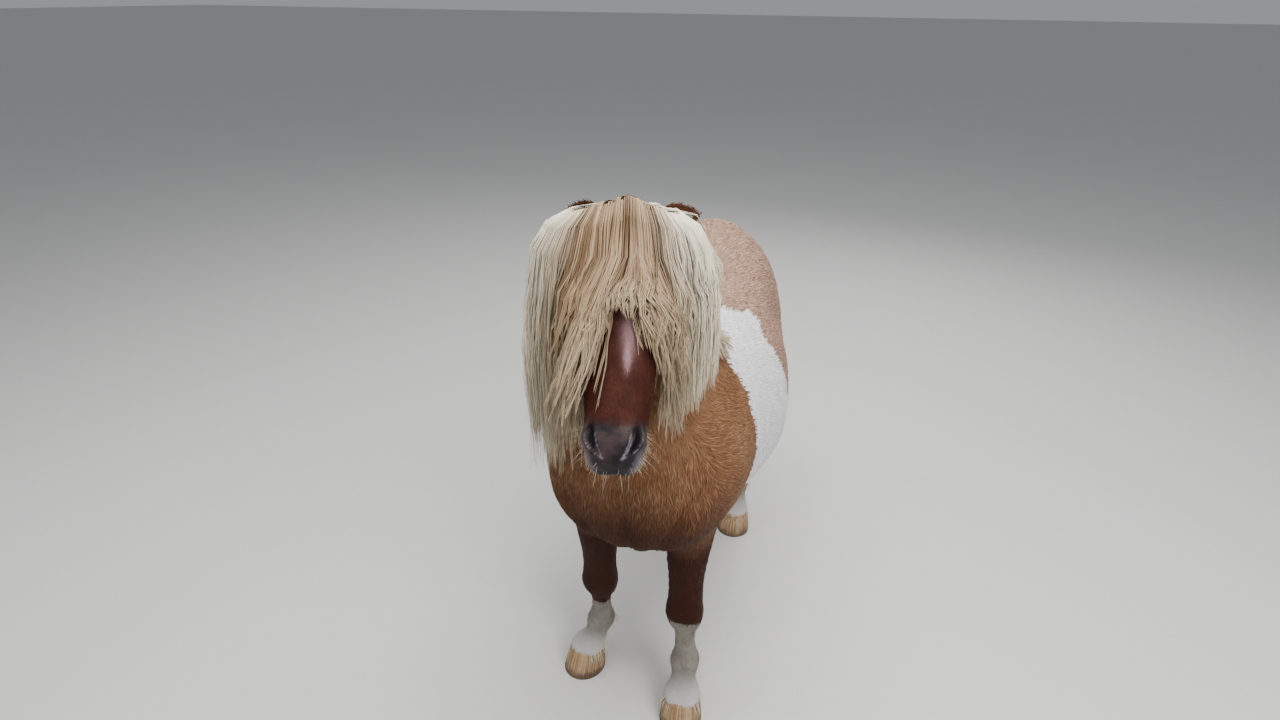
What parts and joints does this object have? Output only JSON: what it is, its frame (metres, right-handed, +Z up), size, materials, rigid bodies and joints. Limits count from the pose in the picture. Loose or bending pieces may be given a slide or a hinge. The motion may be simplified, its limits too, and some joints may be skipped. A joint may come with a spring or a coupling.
{
  "type": "shetland pony",
  "caption": "Life-size still model of a chestnut and white shetland pony, standing with raised head, long flaxen mane, forelock over the eyes and full tail",
  "frame": {"origin": "on the floor under the middle of the bounding box", "axes": "+X to the pony's left, -Y the way it faces, +Z up; the soles stand on z = 0"},
  "size_m": [0.521, 1.3548, 1.2993],
  "materials": {
    "coat": "short dense coat of chestnut hair with white patches, soft sheen",
    "long_hair": "long flaxen hair in loose overlapping locks",
    "hoof": "pale striped horn, dry and slightly dusty",
    "eye": "dark brown wet eye"
  },
  "bodies": {
    "root": {"torso": "coat", "neck": "coat", "head": "coat", "ear_left": "coat", "ear_right": "coat", "eye_left": "eye", "eye_right": "eye", "tail": "long_hair", "foreleg_left_upper": "coat", "foreleg_left_lower": "coat", "hoof_fore_left": "hoof", "foreleg_right_upper": "coat", "foreleg_right_lower": "coat", "hoof_fore_right": "hoof", "hindleg_left_upper": "coat", "hindleg_left_lower": "coat", "hoof_hind_left": "hoof", "hindleg_right_upper": "coat", "hindleg_right_lower": "coat", "hoof_hind_right": "hoof"}
  },
  "joints": []
}
